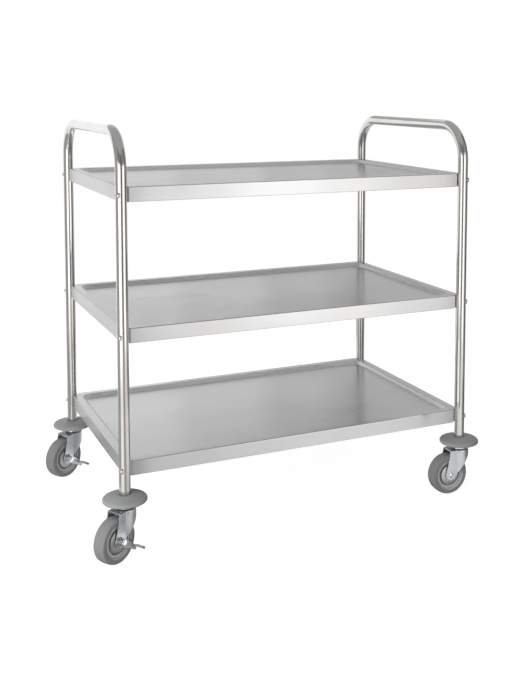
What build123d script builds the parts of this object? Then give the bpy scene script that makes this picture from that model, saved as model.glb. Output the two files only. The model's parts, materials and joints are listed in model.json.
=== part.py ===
from build123d import *
import os
from math import cos, hypot, radians, sin, sqrt

# A three-tier service cart on swivel casters.
# Millimetres. The floor is Z = 0, X runs along the cart and Y across it. The front is at -Y.

# Overall size
cart_height = 940.0
shelf_length = 860.0
shelf_width = 540.0

# End frames: one bent tube for two legs and the handle between them
tube_diameter = 25.0
tube_wall = 1.2
handle_bend_radius = 85.0
handle_rise = 130.0

# Shelves: pressed sheet with a ledge round a recessed floor and an apron folded down
shelf_rims = {"top_shelf": cart_height - handle_rise, "middle_shelf": 504.0, "bottom_shelf": 211.0}
sheet = 1.0
apron_height = 33.0
apron_return = 8.0
ledge_width = 20.0
recess_depth = 9.0
recess_slope_run = 7.0
recess_corner_radius = 25.0
rim_fold_radius = 2.0
corner_bend_radius = 3.0

# Shelf bolts, one on the diagonal of each corner
bolt_diameter = 6.0
bolt_head_diameter = 12.0
bolt_head_height = 3.6
bolt_end = 2.0
nut_across_flats = 10.0
nut_height = 5.0

# Bumpers
bumper_diameter = 98.0
bumper_height = 16.0
bumper_edge = 8.0
bumper_edge_radius = 3.5
bumper_socket = 4.0

# Leg plugs and caster stems
plug_length = 36.0
stem_diameter = 12.0
stem_tip_inset = 4.0
stem_head_diameter = 22.0
stem_head_height = 4.0

# Swivel race
race_height = 13.0
race_diameter = 44.0
race_skirt_wall = 2.0
race_skirt_gap = 2.0
ball_diameter = 6.0
ball_circle_diameter = 30.0
ball_count = 10
ball_seat_depth = 0.8

# Wheels
wheel_diameter = 100.0
tyre_width = 30.0
tyre_bead_width = 24.0
tyre_bead_height = 3.0
tyre_crown = 1.5
tyre_shoulder_radius = 2.5
rim_diameter = 70.0
rim_thickness = 6.0
hub_diameter = 24.0
hub_length = 30.0
web_thickness = 8.0
web_fillet = 2.0
bush_diameter = 12.0
guard_diameter = 48.0
guard_thickness = 1.6
guard_inset = 1.0

# Forks
trail = 34.0
fork_sheet = 2.5
fork_gap = 32.0
crown_radius = 24.0
crown_gap = 9.5
crown_fold_radius = 3.0
cheek_fold_radius = 6.0
boss_radius = 13.0
front_web_drop = 8.0

# Axles: a hex head under the nut of a brake lever, or a low domed head on a plain caster
axle_diameter = 8.0
axle_head_across_flats = 13.0
axle_head_height = 5.0
axle_dome_diameter = 13.0
axle_dome_height = 2.5
axle_nut_height = 6.5
axle_end = 1.5

# Brake levers: a plate on the axle with a tab bent out to stand on
lever_sheet = 2.5
lever_hub_radius = 10.0
lever_boss_radius = 9.0
lever_boss_height = 1.5
lever_reach = 41.0
lever_drop = 26.0
pedal_length = 10.0
pedal_width = 21.5
pedal_depth = 11.0
pedal_fold_radius = 3.0
grip_length = 15.0
grip_wall = 1.5
grip_edge_radius = 2.0

# Clearances
seat_gap = 0.1
drilled_gap = 0.3
fit_gap = 0.05
turning_gap = 0.3

# The angle of each caster at rest, from -Y towards -X, and which casters have a brake
caster_swivels = {"front_left": 58.0, "back_left": 58.0, "front_right": 90.0, "back_right": 238.0}
braked_casters = ("front_left", "back_left")
corner_signs = {
    "front_left": (-1, -1),
    "back_left": (-1, 1),
    "front_right": (1, -1),
    "back_right": (1, 1),
}

# Heights that follow, from the floor up
axle_height = wheel_diameter / 2
crown_top = wheel_diameter + crown_gap + fork_sheet
bumper_foot = crown_top + race_height
bumper_top = bumper_foot + bumper_height
tube_foot = bumper_top - bumper_socket
plug_top = tube_foot + plug_length
handle_axis = cart_height - tube_diameter / 2

# Plan positions that follow: the leg axes stand in the planes of the aprons
leg_x = shelf_length / 2
leg_y = shelf_width / 2
seat_distance = tube_diameter / 2 + seat_gap
corner_setback = seat_distance * sqrt(2)

# Places that follow across a fork
cheek_inside = fork_gap / 2
cheek_outside = cheek_inside + fork_sheet
lever_inside = cheek_outside + turning_gap
lever_outside = lever_inside + lever_sheet
braked_nut_seat = lever_outside + lever_boss_height + turning_gap


def corner_plane(corner, height):
    # a plane at a leg's axis, with its Z along the corner's diagonal, pointing out of the cart
    sign_x, sign_y = corner_signs[corner]
    return Plane(origin=(sign_x * leg_x, sign_y * leg_y, height), x_dir=(0, 0, 1), z_dir=(sign_x, sign_y, 0))


def leg_place(corner):
    sign_x, sign_y = corner_signs[corner]
    return Location((sign_x * leg_x, sign_y * leg_y, 0))


def caster_place(corner):
    # a caster's place: its X axis points along the trail and its Z axis is the stem's
    sign_x, sign_y = corner_signs[corner]
    turn = radians(caster_swivels[corner])
    trail_direction = (-sin(turn), -cos(turn), 0)
    return Plane(origin=(sign_x * leg_x, sign_y * leg_y, 0), x_dir=trail_direction, z_dir=(0, 0, 1)).location


def axle_plane(across):
    # a plane square to the axle, at a distance from the middle of the wheel
    return Plane(origin=(trail, across, axle_height), x_dir=(1, 0, 0), z_dir=(0, 1, 0))


def bolt_height(rim):
    return rim - apron_height / 2


def shelf_outline(inset):
    # the plan of a shelf drawn in on every side, with a flat across each corner where a leg seats
    with BuildSketch(Plane.XY) as outline:
        Rectangle(shelf_length - 2 * inset, shelf_width - 2 * inset)
        chamfer(outline.vertices(), corner_setback - inset * (2 - sqrt(2)))
    return outline.sketch


def recess_outline(inset, radius):
    with BuildSketch(Plane.XY) as outline:
        RectangleRounded(shelf_length - 2 * inset, shelf_width - 2 * inset, radius)
    return outline.sketch


def make_axle_nut(seat, side):
    # a nut whose seat is at a distance from the middle of the wheel, on its far or near side
    with BuildPart() as axle_nut:
        with BuildSketch(axle_plane(side * seat)):
            RegularPolygon(axle_head_across_flats / 2, 6, major_radius=False)
            Circle(axle_diameter / 2 + fit_gap, mode=Mode.SUBTRACT)
        extrude(amount=side * axle_nut_height)
    return axle_nut.part


def save(part, name):
    part.label = name
    export_step(part, f"parts/{name}.step")


def save_copies(part, name, places):
    with BuildPart() as copies:
        with Locations(*places):
            add(part)
    save(copies.part, name)


os.makedirs("parts", exist_ok=True)

# Shelf bolt and nut, along Z with the head outwards and the leg's axis at the origin
bolt_nut_seat = -seat_distance - sheet - fit_gap
bolt_tip = bolt_nut_seat - nut_height - bolt_end
bolt_top = seat_distance + bolt_head_height
with BuildPart() as shelf_bolt:
    with BuildSketch(Plane.XZ):
        with BuildLine():
            Polyline(
                (0, bolt_top),
                (0, bolt_tip),
                (bolt_diameter / 2, bolt_tip),
                (bolt_diameter / 2, seat_distance),
                (bolt_head_diameter / 2, seat_distance),
            )
            TangentArc((0, bolt_top), (bolt_head_diameter / 2, seat_distance), tangent=(1, 0))
        make_face()
    revolve(axis=Axis.Z)

with BuildPart() as shelf_nut:
    with BuildSketch(Plane.XY.offset(bolt_nut_seat - nut_height)):
        RegularPolygon(nut_across_flats / 2, 6, major_radius=False)
        Circle(bolt_diameter / 2 + fit_gap, mode=Mode.SUBTRACT)
    extrude(amount=nut_height)

bolt_places = [
    corner_plane(corner, bolt_height(rim)).location for corner in corner_signs for rim in shelf_rims.values()
]
save_copies(shelf_bolt.part, "shelf_bolts", bolt_places)
save_copies(shelf_nut.part, "shelf_nuts", bolt_places)

# End frames
for frame_name, frame_side in (("left_end_frame", -1), ("right_end_frame", 1)):
    frame_x = frame_side * leg_x
    frame_corners = [corner for corner, signs in corner_signs.items() if signs[0] == frame_side]
    with BuildPart() as end_frame:
        with BuildLine(Plane.YZ.offset(frame_x)):
            FilletPolyline(
                (-leg_y, tube_foot),
                (-leg_y, handle_axis),
                (leg_y, handle_axis),
                (leg_y, tube_foot),
                radius=handle_bend_radius,
            )
        with BuildSketch(Plane(origin=(frame_x, -leg_y, tube_foot), z_dir=(0, 0, 1))):
            Circle(tube_diameter / 2)
            Circle(tube_diameter / 2 - tube_wall, mode=Mode.SUBTRACT)
        sweep()
        for corner in frame_corners:
            for rim in shelf_rims.values():
                with BuildSketch(corner_plane(corner, bolt_height(rim))):
                    Circle(bolt_diameter / 2 + drilled_gap)
                extrude(amount=tube_diameter, both=True, mode=Mode.SUBTRACT)
    save(end_frame.part, frame_name)

# Shelves
floor_inset = ledge_width + recess_slope_run
floor_corner_radius = recess_corner_radius - recess_slope_run
skin_shift = sheet * (hypot(recess_slope_run, recess_depth) - recess_slope_run) / recess_depth
for shelf_name, rim in shelf_rims.items():
    apron_foot = rim - apron_height
    floor = rim - recess_depth
    with BuildPart() as shelf:
        # the folded box: ledge and apron
        with BuildSketch(Plane.XY.offset(apron_foot)):
            add(shelf_outline(0))
        extrude(amount=apron_height)
        fillet(shelf.edges().filter_by(Axis.Z), corner_bend_radius)
        fillet(shelf.faces().sort_by(Axis.Z)[-1].edges(), rim_fold_radius)
        with BuildSketch(Plane.XY.offset(apron_foot + sheet)):
            add(shelf_outline(sheet))
        extrude(amount=apron_height - 2 * sheet, mode=Mode.SUBTRACT)
        # the return folded in along the foot of the apron
        with BuildSketch(Plane.XY.offset(apron_foot)):
            add(shelf_outline(sheet + apron_return))
        extrude(amount=sheet, mode=Mode.SUBTRACT)
        # the pressed recess: its underside first, then its hollow
        with BuildSketch(Plane.XY.offset(floor - sheet)):
            add(recess_outline(floor_inset - skin_shift, floor_corner_radius + skin_shift))
        with BuildSketch(Plane.XY.offset(rim - sheet)):
            add(recess_outline(ledge_width - skin_shift, recess_corner_radius + skin_shift))
        loft()
        with BuildSketch(Plane.XY.offset(floor)):
            add(recess_outline(floor_inset, floor_corner_radius))
        with BuildSketch(Plane.XY.offset(rim)):
            add(recess_outline(ledge_width, recess_corner_radius))
        loft(mode=Mode.SUBTRACT)
        for corner in corner_signs:
            with BuildSketch(corner_plane(corner, bolt_height(rim))):
                Circle(bolt_diameter / 2 + drilled_gap)
            extrude(amount=-(seat_distance + 2 * sheet), mode=Mode.SUBTRACT)
    save(shelf.part, shelf_name)

# Bumper: a moulded disc with a domed top, a socket for the leg and a hole for the stem
socket_radius = tube_diameter / 2 + fit_gap
stem_bore = stem_diameter / 2 + fit_gap
bumper_radius = bumper_diameter / 2
with BuildPart() as bumper:
    with BuildSketch(Plane.XZ) as bumper_section:
        with BuildLine():
            Polyline(
                (bumper_radius, bumper_foot + bumper_edge),
                (bumper_radius, bumper_foot),
                (stem_bore, bumper_foot),
                (stem_bore, tube_foot),
                (socket_radius, tube_foot),
                (socket_radius, bumper_top),
            )
            TangentArc(
                (socket_radius, bumper_top),
                (bumper_radius, bumper_foot + bumper_edge),
                tangent=(1, 0),
            )
        make_face()
        fillet(bumper_section.vertices().group_by(Axis.X)[-1], bumper_edge_radius)
    revolve(axis=Axis.Z)

# Leg plug and caster stem
with BuildPart() as leg_plug:
    with BuildSketch(Plane.XY.offset(tube_foot)):
        Circle(tube_diameter / 2 - tube_wall - fit_gap)
        Circle(stem_bore, mode=Mode.SUBTRACT)
    extrude(amount=plug_length)

stem_head_top = crown_top - fork_sheet - turning_gap
with BuildPart() as caster_stem:
    with BuildSketch(Plane.XY.offset(stem_head_top - stem_head_height)):
        Circle(stem_head_diameter / 2)
    extrude(amount=stem_head_height)
    with BuildSketch(Plane.XY.offset(stem_head_top)):
        Circle(stem_diameter / 2)
    extrude(amount=plug_top - stem_tip_inset - stem_head_top)

leg_places = [leg_place(corner) for corner in corner_signs]
save_copies(leg_plug.part, "leg_plugs", leg_places)
save_copies(caster_stem.part, "caster_stems", leg_places)

# Upper race: a cup that stays with the stem, grooved for the balls
ball_centre = crown_top + ball_diameter / 2 - ball_seat_depth
cup_underside = ball_centre + ball_diameter / 2 - ball_seat_depth
race_radius = race_diameter / 2
with BuildPart() as upper_race:
    with BuildSketch(Plane.XZ):
        with BuildLine():
            Polyline(
                (stem_bore, bumper_foot),
                (stem_bore, cup_underside),
                (race_radius - race_skirt_wall, cup_underside),
                (race_radius - race_skirt_wall, crown_top + race_skirt_gap),
                (race_radius, crown_top + race_skirt_gap),
                (race_radius, bumper_foot),
                close=True,
            )
        make_face()
        with Locations((ball_circle_diameter / 2, ball_centre)):
            Circle(ball_diameter / 2 + turning_gap, mode=Mode.SUBTRACT)
    revolve(axis=Axis.Z)

with BuildPart() as race_balls:
    with Locations((0, 0, ball_centre)):
        with PolarLocations(ball_circle_diameter / 2, ball_count):
            Sphere(ball_diameter / 2)

# Fork: a pressed crown, round in front, with two cheeks that taper down to the axle
fork_length = trail + boss_radius
with BuildPart() as fork:
    with BuildSketch(Plane.XY) as fork_plan:
        Circle(crown_radius)
        with Locations((fork_length / 2, 0)):
            Rectangle(fork_length, 2 * cheek_outside)
        fillet(fork_plan.vertices().group_by(Axis.X)[0], cheek_fold_radius)
    extrude(amount=crown_top)
    fillet(fork.faces().sort_by(Axis.Z)[-1].edges().sort_by(Axis.X)[:-1], crown_fold_radius)
    # the hollow between the cheeks, open behind and below
    with BuildSketch(Plane.XY) as fork_hollow:
        Circle(crown_radius - fork_sheet)
        with Locations((fork_length, 0)):
            Rectangle(2 * fork_length, 2 * cheek_inside)
        fillet(fork_hollow.vertices().group_by(Axis.X)[0], cheek_fold_radius + fork_sheet)
    extrude(amount=crown_top - fork_sheet, mode=Mode.SUBTRACT)
    # the side view: a short web in front, and straight edges from the crown to a boss round the axle
    with BuildSketch(Plane.XZ) as fork_side:
        with Locations((trail, axle_height)):
            Circle(boss_radius)
        with Locations(((trail - crown_radius) / 2, crown_top - front_web_drop / 2)):
            Rectangle(trail + crown_radius, front_web_drop)
        make_hull(fork_side.edges())
    extrude(amount=2 * crown_radius, both=True, mode=Mode.INTERSECT)
    with BuildSketch(axle_plane(0)):
        Circle(axle_diameter / 2 + fit_gap)
    extrude(amount=2 * crown_radius, both=True, mode=Mode.SUBTRACT)
    with BuildSketch(Plane.XY):
        Circle(stem_bore)
    extrude(amount=bumper_foot, mode=Mode.SUBTRACT)
    with BuildSketch(Plane.XZ):
        with Locations((ball_circle_diameter / 2, ball_centre)):
            Circle(ball_diameter / 2 + fit_gap)
    revolve(axis=Axis.Z, mode=Mode.SUBTRACT)

# Bush that the cheeks clamp, for the wheel to turn on
with BuildPart() as axle_bush:
    with BuildSketch(axle_plane(0)):
        Circle(bush_diameter / 2)
        Circle(axle_diameter / 2 + fit_gap, mode=Mode.SUBTRACT)
    extrude(amount=cheek_inside - fit_gap, both=True)

# Wheel, turned about the axle: each section is drawn as distance across and radius
axle_line = Axis((trail, 0, axle_height), (0, 1, 0))
wheel_section = Plane(origin=(trail, 0, axle_height), x_dir=(0, 1, 0), z_dir=(1, 0, 0))
core_bore = bush_diameter / 2 + fit_gap
hub_radius = hub_diameter / 2
rim_radius = rim_diameter / 2
with BuildPart() as wheel_core:
    with BuildSketch(wheel_section) as core_section:
        with Locations((0, (core_bore + hub_radius) / 2)):
            Rectangle(hub_length, hub_radius - core_bore)
        with Locations((0, (core_bore + rim_radius) / 2)):
            Rectangle(web_thickness, rim_radius - core_bore)
        with Locations((0, rim_radius - rim_thickness / 2)):
            Rectangle(tyre_bead_width, rim_thickness)
        web_corners = core_section.vertices().filter_by(lambda vertex: abs(vertex.X) < web_thickness)
        fillet(web_corners, web_fillet)
    revolve(axis=axle_line)

tyre_radius = wheel_diameter / 2
shoulder = (tyre_width / 2, tyre_radius - tyre_crown)
side_foot = (tyre_width / 2, rim_radius + tyre_bead_height)
bead = (tyre_bead_width / 2, rim_radius + fit_gap)
with BuildPart() as tyre:
    with BuildSketch(wheel_section) as tyre_section:
        with BuildLine():
            half_section = Polyline((0, bead[1]), bead, side_foot, shoulder)
            half_tread = TangentArc((0, tyre_radius), shoulder, tangent=(1, 0))
            mirror(half_section, about=Plane.YZ)
            mirror(half_tread, about=Plane.YZ)
        make_face()
        shoulders = tyre_section.vertices().filter_by(lambda vertex: abs(vertex.Y - shoulder[1]) < fit_gap)
        fillet(shoulders, tyre_shoulder_radius)
    revolve(axis=axle_line)

guard_outside = hub_length / 2 - guard_inset
with BuildPart() as thread_guards:
    for side in (-1, 1):
        with BuildSketch(axle_plane(side * guard_outside)):
            Circle(guard_diameter / 2)
            Circle(hub_radius + fit_gap, mode=Mode.SUBTRACT)
        extrude(amount=-side * guard_thickness)

# Axle of a braked caster, which carries the lever between a cheek and the nut
with BuildPart() as braked_axle:
    with BuildSketch(axle_plane(-cheek_outside)):
        RegularPolygon(axle_head_across_flats / 2, 6, major_radius=False)
    extrude(amount=-axle_head_height)
    with BuildSketch(axle_plane(-cheek_outside)):
        Circle(axle_diameter / 2)
    extrude(amount=cheek_outside + braked_nut_seat + axle_nut_height + axle_end)

# Axle of a plain caster
dome_top = cheek_outside + axle_dome_height
plain_axle_tip = -(cheek_outside + axle_nut_height + axle_end)
with BuildPart() as plain_axle:
    with BuildSketch(wheel_section):
        with BuildLine():
            Polyline(
                (dome_top, 0),
                (plain_axle_tip, 0),
                (plain_axle_tip, axle_diameter / 2),
                (cheek_outside, axle_diameter / 2),
                (cheek_outside, axle_dome_diameter / 2),
            )
            TangentArc((dome_top, 0), (cheek_outside, axle_dome_diameter / 2), tangent=(0, 1))
        make_face()
    revolve(axis=axle_line)

# Brake lever: a plate outside the cheek, drawn from the axle along its arm
arm_length = hypot(lever_reach, lever_drop)
arm_along = Vector(-lever_reach, 0, -lever_drop) / arm_length
pedal_near = arm_length - pedal_length / 2
pedal_far = arm_length + pedal_length / 2
pedal_tip = lever_outside + pedal_width
pedal_middle = (pedal_depth - lever_sheet) / 2
lever_plane = Plane(origin=(trail, lever_inside, axle_height), x_dir=arm_along, z_dir=(0, 1, 0))
pedal_end = Vector(trail, 0, axle_height) + arm_along * pedal_far
pedal_plane = Plane(origin=pedal_end, x_dir=(0, 1, 0), z_dir=-arm_along)
with BuildPart() as brake_lever:
    with BuildSketch(lever_plane) as lever_side:
        Circle(lever_hub_radius)
        with Locations((pedal_near / 2, 0)):
            Rectangle(pedal_near, pedal_depth)
        make_hull(lever_side.edges())
    extrude(amount=lever_sheet)
    with BuildSketch(lever_plane.offset(lever_sheet)):
        Circle(lever_boss_radius)
    extrude(amount=lever_boss_height)
    with BuildSketch(pedal_plane) as pedal_section:
        with Locations(((lever_inside + lever_outside) / 2, 0)):
            Rectangle(lever_sheet, pedal_depth)
        with Locations(((lever_inside + pedal_tip) / 2, pedal_middle)):
            Rectangle(pedal_tip - lever_inside, lever_sheet)
        outer_corner = (lever_inside, pedal_depth / 2)
        fillet(pedal_section.vertices().sort_by_distance(outer_corner)[0], pedal_fold_radius + lever_sheet)
        inner_corner = (lever_outside, pedal_depth / 2 - lever_sheet)
        fillet(pedal_section.vertices().sort_by_distance(inner_corner)[0], pedal_fold_radius)
    extrude(amount=pedal_length)
    with BuildSketch(lever_plane):
        Circle(axle_diameter / 2 + fit_gap)
    extrude(amount=2 * lever_sheet, mode=Mode.SUBTRACT)

# Grip pushed on the end of the brake pedal
with BuildPart() as brake_grip:
    with BuildSketch(lever_plane.offset(pedal_tip - grip_length - lever_inside)):
        with Locations((arm_length, pedal_middle)):
            RectangleRounded(pedal_length + 2 * grip_wall, lever_sheet + 2 * grip_wall, grip_wall)
    extrude(amount=grip_length + grip_wall)
    fillet(brake_grip.faces().sort_by(Axis.Y)[-1].edges(), grip_edge_radius)
    with BuildSketch(lever_plane):
        with Locations((arm_length, pedal_middle)):
            Rectangle(pedal_length + 2 * fit_gap, lever_sheet + 2 * fit_gap)
    extrude(amount=pedal_tip + fit_gap - lever_inside, mode=Mode.SUBTRACT)

# One of each piece on every leg
for corner in corner_signs:
    stem_place = [leg_place(corner)]
    swivel_place = [caster_place(corner)]
    save_copies(bumper.part, f"bumper_{corner}", stem_place)
    save_copies(upper_race.part, f"upper_race_{corner}", stem_place)
    save_copies(fork.part, f"fork_{corner}", swivel_place)
    save_copies(race_balls.part, f"race_balls_{corner}", swivel_place)
    save_copies(axle_bush.part, f"axle_bush_{corner}", swivel_place)
    save_copies(wheel_core.part, f"wheel_core_{corner}", swivel_place)
    save_copies(tyre.part, f"tyre_{corner}", swivel_place)
    save_copies(thread_guards.part, f"thread_guards_{corner}", swivel_place)
    if corner in braked_casters:
        save_copies(braked_axle.part, f"axle_bolt_{corner}", swivel_place)
        save_copies(make_axle_nut(braked_nut_seat, 1), f"axle_nut_{corner}", swivel_place)
        save_copies(brake_lever.part, f"brake_lever_{corner}", swivel_place)
        save_copies(brake_grip.part, f"brake_grip_{corner}", swivel_place)
    else:
        save_copies(plain_axle.part, f"axle_bolt_{corner}", swivel_place)
        save_copies(make_axle_nut(cheek_outside, -1), f"axle_nut_{corner}", swivel_place)
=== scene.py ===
import json
import math

import bmesh
import bpy
from mathutils import Matrix, Vector

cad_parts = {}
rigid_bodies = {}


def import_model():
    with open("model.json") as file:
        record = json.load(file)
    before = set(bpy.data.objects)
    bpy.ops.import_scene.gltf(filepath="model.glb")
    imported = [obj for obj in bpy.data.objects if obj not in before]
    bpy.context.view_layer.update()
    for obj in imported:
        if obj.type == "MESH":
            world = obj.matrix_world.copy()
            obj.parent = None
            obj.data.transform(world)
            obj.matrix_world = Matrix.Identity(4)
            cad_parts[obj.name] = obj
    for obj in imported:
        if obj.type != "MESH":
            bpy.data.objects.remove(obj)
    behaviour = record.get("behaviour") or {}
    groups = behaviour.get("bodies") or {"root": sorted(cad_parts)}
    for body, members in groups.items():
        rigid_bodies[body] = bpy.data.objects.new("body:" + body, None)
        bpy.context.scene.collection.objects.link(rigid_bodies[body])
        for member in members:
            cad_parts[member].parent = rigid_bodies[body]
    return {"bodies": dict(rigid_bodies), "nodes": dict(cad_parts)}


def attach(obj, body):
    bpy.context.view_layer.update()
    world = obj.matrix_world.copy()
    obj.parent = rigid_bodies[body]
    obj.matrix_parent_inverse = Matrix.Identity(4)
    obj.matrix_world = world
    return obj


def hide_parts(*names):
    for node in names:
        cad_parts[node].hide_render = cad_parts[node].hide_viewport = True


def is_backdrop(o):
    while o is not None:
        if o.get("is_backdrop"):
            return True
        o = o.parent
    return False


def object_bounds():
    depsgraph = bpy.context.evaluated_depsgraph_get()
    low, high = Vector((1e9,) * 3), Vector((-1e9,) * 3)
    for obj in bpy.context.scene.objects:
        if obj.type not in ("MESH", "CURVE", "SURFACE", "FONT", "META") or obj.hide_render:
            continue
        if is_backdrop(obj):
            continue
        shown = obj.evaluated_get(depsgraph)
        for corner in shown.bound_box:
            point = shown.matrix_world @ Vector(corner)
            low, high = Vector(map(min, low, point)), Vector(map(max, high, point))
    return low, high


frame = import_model()
cadLow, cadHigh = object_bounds()

mm = 0.001
weld = 0.00001  # points nearer than this, in metres, are merged
upward = Vector((0, 0, 1))
crosswise = Vector((0, 1, 0))  # across the cart, and along the axle in a wheel's own frame
cart = {"legX": 430.0, "legY": 270.0, "axle": 50.0, "trail": 34.0}  # millimetres
corners = {  # side of the cart, the caster's turn from the front, and whether it has a brake
    "front_left": {"side": (-1, -1), "turn": 58.0, "brake": True},
    "back_left": {"side": (-1, 1), "turn": 58.0, "brake": True},
    "front_right": {"side": (1, -1), "turn": 90.0, "brake": False},
    "back_right": {"side": (1, 1), "turn": 238.0, "brake": False},
}
bodyOf = {
    name: body
    for name, node in frame["nodes"].items()
    for body, empty in frame["bodies"].items()
    if node.parent is empty
}


# shader node helpers and shared groups


def addNode(tree, kind, **settings):
    node = tree.nodes.new(kind)
    for key, value in settings.items():
        setattr(node, key, value)
    return node


def feed(tree, socket, value):  # a link from another node, or a plain value
    if hasattr(value, "links"):
        tree.links.new(value, socket)
    else:
        socket.default_value = value


def mapRange(tree, source, low, high, toLow=0.0, toHigh=1.0):
    node = addNode(tree, "ShaderNodeMapRange", interpolation_type="SMOOTHSTEP")
    values = {"Value": source, "From Min": low, "From Max": high, "To Min": toLow, "To Max": toHigh}
    for socket, value in values.items():
        feed(tree, node.inputs[socket], value)
    return node.outputs["Result"]


def mixColour(tree, factor, first, second):
    node = addNode(tree, "ShaderNodeMix", data_type="RGBA")
    feed(tree, node.inputs[0], factor)
    for index, value in ((6, first), (7, second)):  # the two colour sockets
        feed(tree, node.inputs[index], (*value, 1.0) if isinstance(value, tuple) else value)
    return node.outputs[2]


def maths(tree, operation, first, second):
    node = addNode(tree, "ShaderNodeMath", operation=operation)
    feed(tree, node.inputs[0], first)
    feed(tree, node.inputs[1], second)
    return node.outputs[0]


def tint(tree, tone, mask, share, colour):  # lays a share of a colour over the tone, where the mask is
    return mixColour(tree, maths(tree, "MULTIPLY", mask, share), tone, colour)


def addShare(tree, value, mask, share):
    return maths(tree, "ADD", value, maths(tree, "MULTIPLY", mask, share))


def faceMark(tree, name):
    return addNode(tree, "ShaderNodeAttribute", attribute_name=name).outputs["Fac"]


def noise(tree, vector, scale, detail, rough, distort=0.0):
    node = addNode(tree, "ShaderNodeTexNoise", noise_dimensions="3D")
    values = {"Vector": vector, "Scale": scale, "Detail": detail, "Roughness": rough, "Distortion": distort}
    for socket, value in values.items():
        feed(tree, node.inputs[socket], value)
    return node.outputs["Fac"]


def newGroup(name, inputs, outputs):
    group = bpy.data.node_groups.new(name, "ShaderNodeTree")
    group.interface.new_socket("Vector", in_out="INPUT", socket_type="NodeSocketVector")
    for label, (kind, value) in inputs.items():
        group.interface.new_socket(label, in_out="INPUT", socket_type=kind).default_value = value
    for label in outputs:
        group.interface.new_socket(label, in_out="OUTPUT", socket_type="NodeSocketFloat")
    return group, addNode(group, "NodeGroupInput").outputs, addNode(group, "NodeGroupOutput").inputs


def makeBrushLines():  # long fine scratches left by the polishing belt
    stretch = {"Stretch": ("NodeSocketVector", (1, 1, 1))}
    group, given, put = newGroup("brushLines", stretch, ("Lines", "Bands"))
    stretched = addNode(group, "ShaderNodeVectorMath", operation="MULTIPLY")
    group.links.new(given["Vector"], stretched.inputs[0])
    group.links.new(given["Stretch"], stretched.inputs[1])
    fine = noise(group, stretched.outputs[0], scale=1.0, detail=5.0, rough=0.7)
    broad = noise(group, stretched.outputs[0], scale=0.13, detail=2.0, rough=0.5)
    group.links.new(fine, put["Lines"])
    group.links.new(broad, put["Bands"])
    return group


def makeHandMarks():  # wiped smears and finger marks
    group, given, put = newGroup("handMarks", {"Scale": ("NodeSocketFloat", 8.0)}, ("Smears",))
    cloud = noise(group, given["Vector"], given["Scale"], detail=4.0, rough=0.6, distort=0.8)
    group.links.new(mapRange(group, cloud, low=0.42, high=0.72), put["Smears"])
    return group


def makeEdgeWear():  # rubbed convex edges, and a mask of the hollows, which the finishes make darker
    group, given, put = newGroup("edgeWear", {"Scale": ("NodeSocketFloat", 90.0)}, ("Wear", "Hollows"))
    curve = addNode(group, "ShaderNodeNewGeometry").outputs["Pointiness"]
    ridge = mapRange(group, curve, low=0.51, high=0.58)
    hollow = mapRange(group, curve, low=0.49, high=0.43)
    patchy = noise(group, given["Vector"], given["Scale"], detail=4.0, rough=0.65)
    broken = mapRange(group, patchy, low=0.35, high=0.65, toLow=0.25)
    group.links.new(maths(group, "MULTIPLY", ridge, broken), put["Wear"])
    group.links.new(maths(group, "MULTIPLY", hollow, broken), put["Hollows"])
    return group


def makeMouldGrain():  # the fine etched skin of a moulding, with a slow change of tone
    scales = {"Grain": ("NodeSocketFloat", 900.0), "Cloud": ("NodeSocketFloat", 14.0)}
    group, given, put = newGroup("mouldGrain", scales, ("Height", "Tone"))
    cells = addNode(group, "ShaderNodeTexVoronoi", feature="SMOOTH_F1")
    group.links.new(given["Vector"], cells.inputs["Vector"])
    group.links.new(given["Grain"], cells.inputs["Scale"])
    dust = noise(group, given["Vector"], given["Grain"], detail=2.0, rough=0.6)
    cloud = noise(group, given["Vector"], given["Cloud"], detail=4.0, rough=0.6, distort=0.4)
    group.links.new(maths(group, "ADD", cells.outputs["Distance"], dust), put["Height"])
    group.links.new(cloud, put["Tone"])
    return group


brushLines = makeBrushLines()
handMarks = makeHandMarks()
edgeWear = makeEdgeWear()
mouldGrain = makeMouldGrain()


def useGroup(tree, group, vector, **values):
    node = addNode(tree, "ShaderNodeGroup", node_tree=group)
    for label, value in {"Vector": vector, **values}.items():
        feed(tree, node.inputs[label], value)
    return node.outputs


def startMaterial(name, metallic, attribute=None):
    material = bpy.data.materials.new(name)
    material.use_nodes = True
    tree = material.node_tree
    shader = tree.nodes["Principled BSDF"]
    shader.inputs["Metallic"].default_value = metallic
    if attribute:
        where = addNode(tree, "ShaderNodeAttribute", attribute_name=attribute).outputs["Vector"]
    else:
        where = addNode(tree, "ShaderNodeTexCoord").outputs["Object"]
    return material, tree, shader, where


def bump(tree, shader, height, strength, depth):
    node = addNode(tree, "ShaderNodeBump")
    node.inputs["Strength"].default_value = strength
    node.inputs["Distance"].default_value = depth * mm
    tree.links.new(height, node.inputs["Height"])
    tree.links.new(node.outputs["Normal"], shader.inputs["Normal"])


# finishes: ranges of the patterns and shares that all pieces of a kind have alike

steel = {"bands": (0.3, 0.7), "lines": (0.25, 0.75), "wearScale": 120.0, "smearRough": 0.22}
plate = {
    "clouds": (0.35, 0.65), "roughClouds": (0.3, 0.7), "wearScale": 160.0,
    "smear": 0.35, "grime": 0.7, "wornSmooth": 0.12,
}
mould = {"clouds": (0.32, 0.68), "wearScale": 110.0, "grime": 0.6, "grainRough": 0.05}


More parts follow.
